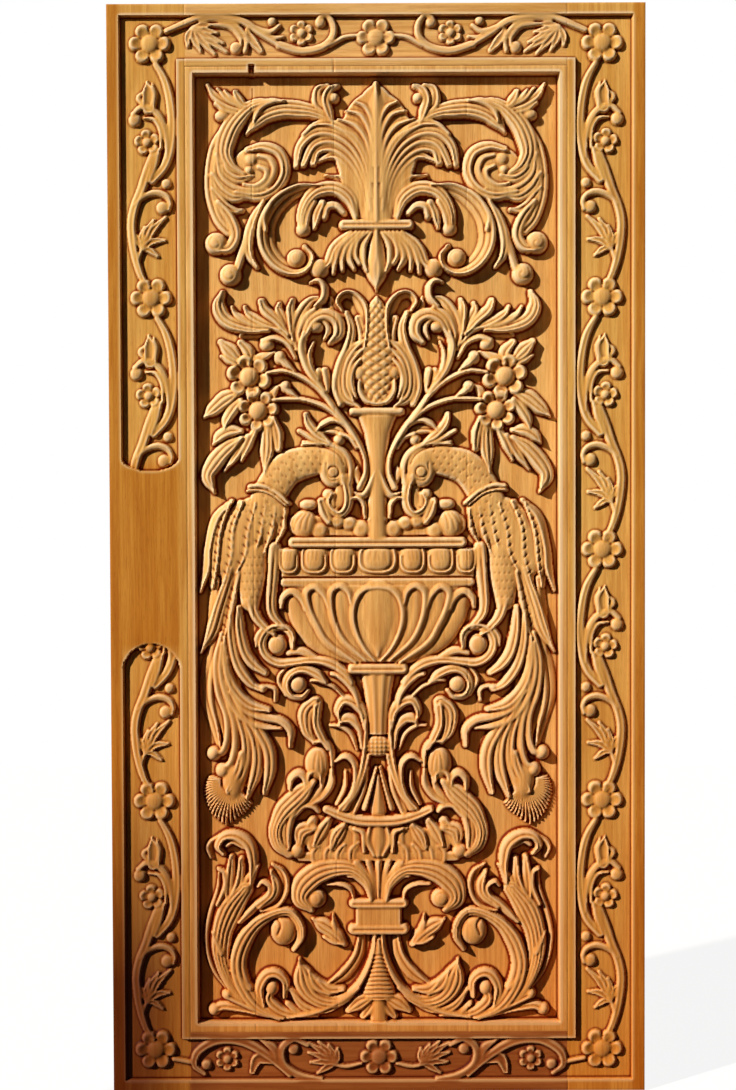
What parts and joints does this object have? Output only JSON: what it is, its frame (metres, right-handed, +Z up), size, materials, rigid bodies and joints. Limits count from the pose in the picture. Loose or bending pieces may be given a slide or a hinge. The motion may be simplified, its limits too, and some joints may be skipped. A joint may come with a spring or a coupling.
{
  "type": "carved panelled door leaf",
  "caption": "Tall carved teak door leaf with a framed panel of urn, peacocks and scrolls and a running vine border, bare golden wood.",
  "frame": {"origin": "middle of the leaf's foot, halfway through its thickness", "axes": "+Z up the leaf's height, +X across towards the hinge stile, -Y out of the carved face"},
  "size_m": [1.05, 0.05, 2.135],
  "materials": {
    "frame_teak": "bare planed teak",
    "panel_teak": "bare carved teak",
    "wedge_teak": "bare teak"
  },
  "bodies": {
    "root": {"lock_stile": "frame_teak", "hinge_stile": "frame_teak", "bottom_rail": "frame_teak", "top_rail": "frame_teak", "panel_board_1": "panel_teak", "panel_board_2": "panel_teak", "panel_board_3": "panel_teak", "panel_board_4": "panel_teak", "panel_tongue_1": "wedge_teak", "panel_tongue_2": "wedge_teak", "panel_tongue_3": "wedge_teak", "bottom_lock_lower_wedge": "wedge_teak", "bottom_lock_upper_wedge": "wedge_teak", "bottom_hinge_lower_wedge": "wedge_teak", "bottom_hinge_upper_wedge": "wedge_teak", "top_lock_lower_wedge": "wedge_teak", "top_lock_upper_wedge": "wedge_teak", "top_hinge_lower_wedge": "wedge_teak", "top_hinge_upper_wedge": "wedge_teak"}
  },
  "joints": []
}
